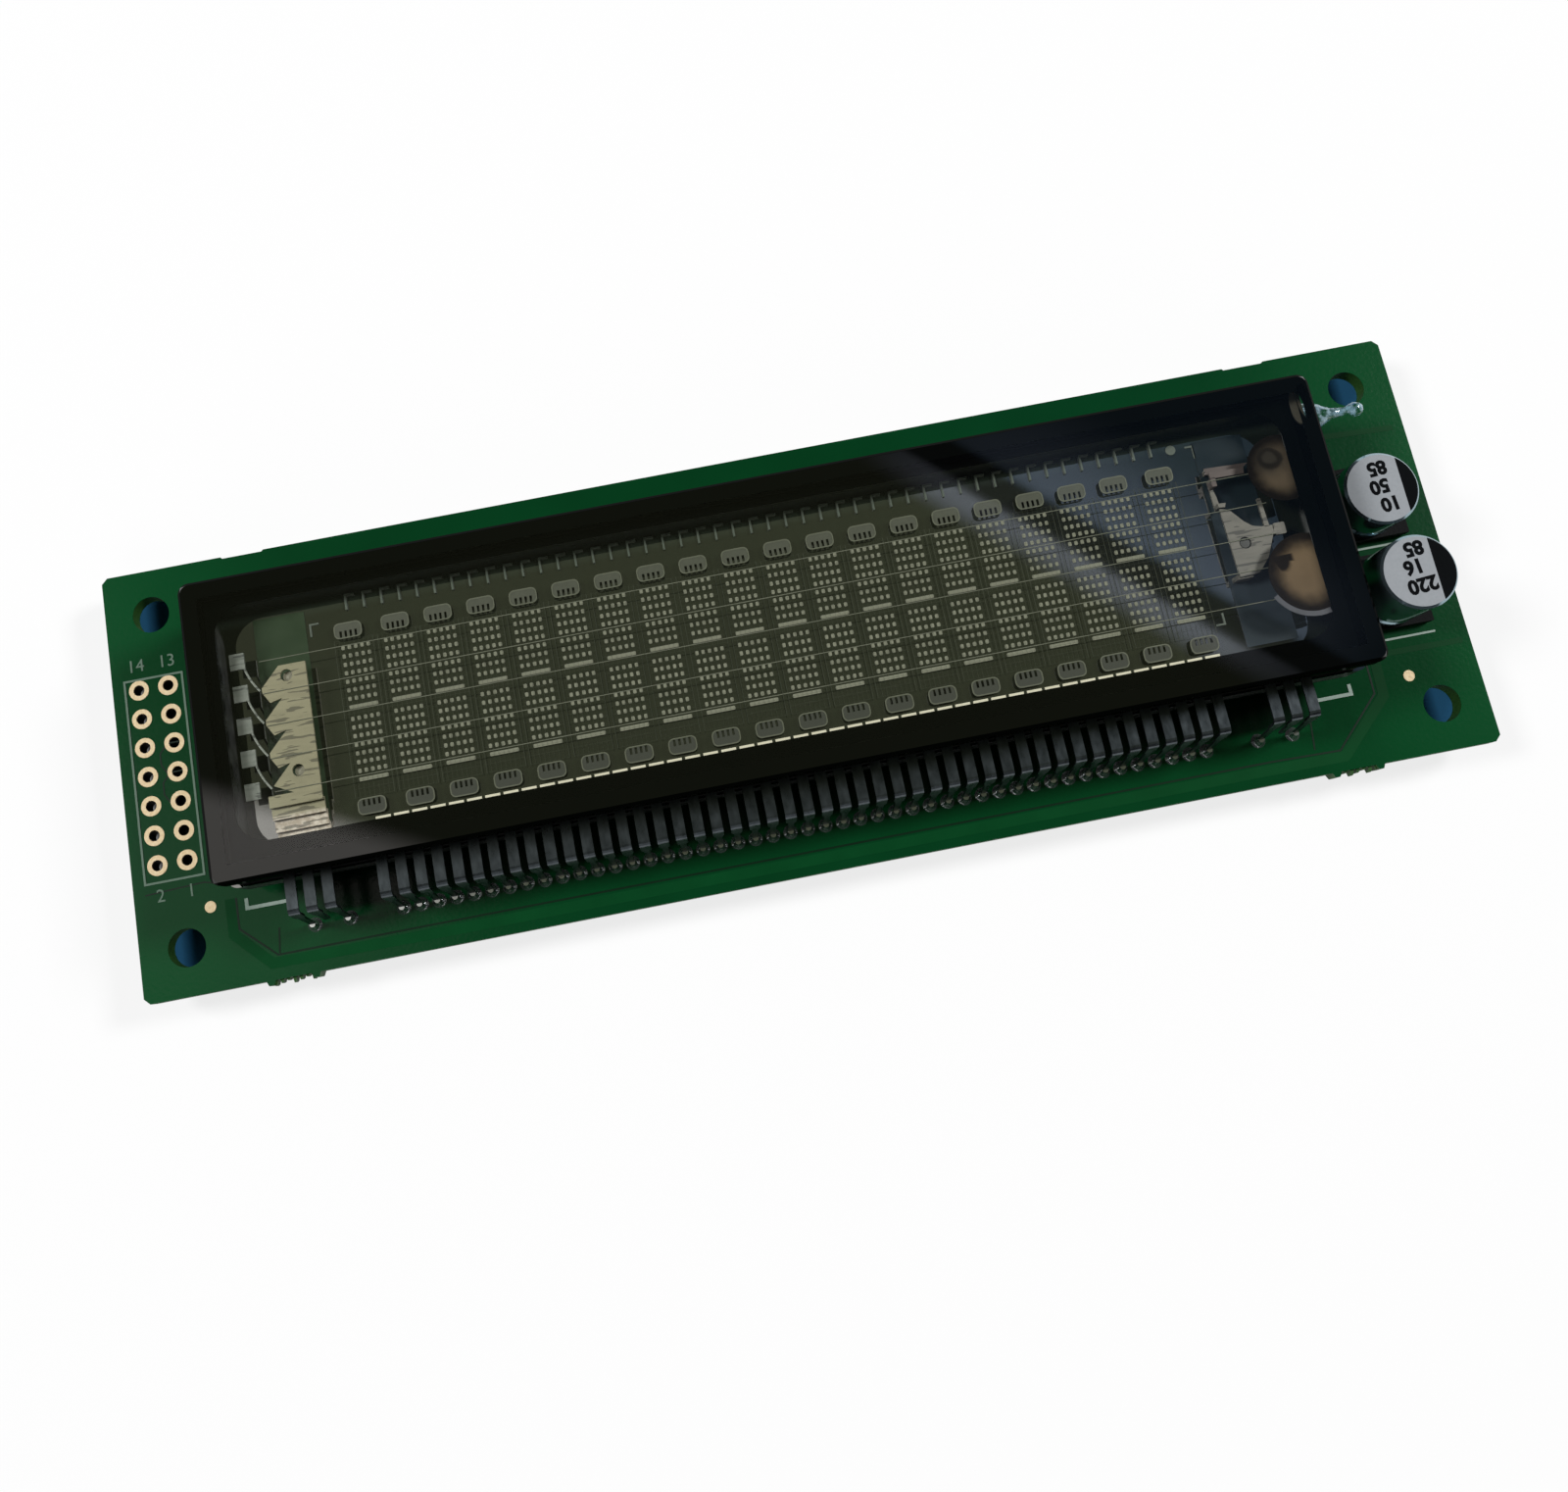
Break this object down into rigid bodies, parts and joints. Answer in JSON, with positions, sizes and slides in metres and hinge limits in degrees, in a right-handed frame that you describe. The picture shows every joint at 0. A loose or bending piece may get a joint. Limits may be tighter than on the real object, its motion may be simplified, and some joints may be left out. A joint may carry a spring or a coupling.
{
  "type": "vacuum fluorescent display module",
  "caption": "Flat glass fluorescent tube with rows of dot-matrix characters, soldered by its leads over a green circuit board that has mounting holes and a row of plated plug holes.",
  "frame": {"origin": "centre of the four mounting holes, on the front face of the circuit board", "axes": "+X along the board away from the plug holes, +Y across the board, +Z out of the display's front"},
  "size_m": [0.116, 0.0374, 0.0145],
  "materials": {
    "board": "green solder mask over glass-epoxy",
    "foam": "black foam tape",
    "substrate": "dark printed glass",
    "seal": "black sealing glass",
    "walls": "black-sealed glass",
    "border": "black print on glass",
    "paint": "white printed lines, thin",
    "cover": "clear plate glass, ground edge",
    "tip": "clear drawn glass",
    "anode_field": "printed dots, unlit",
    "phosphor": "unlit phosphor powder",
    "grid": "etched mesh, dull",
    "wire": "oxide-coated wire",
    "nickel": "warm nickel alloy sheet",
    "spring": "spring alloy, dull",
    "base_plate": "dull grey-green",
    "getter_mirror": "brown metallic film",
    "getter_holder": "flashed getter strip",
    "lead": "dull tinned alloy",
    "cap_base": "black moulding",
    "large_can": "bright can, black polarity mark",
    "small_can": "bright can, black polarity mark",
    "chip_pin": "tinned",
    "chip": "black moulding compound",
    "ferrite": "dark ferrite",
    "resonator": "light brown ceramic",
    "diode": "black moulding compound",
    "ceramic": "tan ceramic",
    "resistor": "black glaze on ceramic"
  },
  "bodies": {
    "root": {"base_plates": "base_plate", "black_border": "border", "board_print": "paint", "ceramic_capacitors": "ceramic", "ceramic_resonator": "resonator", "character_fields": "anode_field", "chip_resistors": "resistor", "circuit_board": "board", "coil_core": "ferrite", "coil_pins": "chip_pin", "coil_shield": "ferrite", "control_grids": "grid", "cover_glass": "cover", "cursor_bars": "phosphor", "driver_chip": "chip", "driver_pins": "chip_pin", "exhaust_tip": "tip", "filament_carrier": "nickel", "filament_leads_left": "lead", "filament_leads_right": "lead", "filament_springs": "spring", "filament_support": "nickel", "filaments": "wire", "foam_strips": "foam", "getter_holders": "getter_holder", "getter_mirrors": "getter_mirror", "glass_seal": "seal", "glass_substrate": "substrate", "glass_walls": "walls", "large_capacitor_base": "cap_base", "large_capacitor_can": "large_can", "large_capacitor_pins": "chip_pin", "memory_chip": "chip", "memory_pins": "chip_pin", "rectifier_diodes": "diode", "signal_leads": "lead", "small_capacitor_base": "cap_base", "small_capacitor_can": "small_can", "small_capacitor_pins": "chip_pin"}
  },
  "joints": []
}
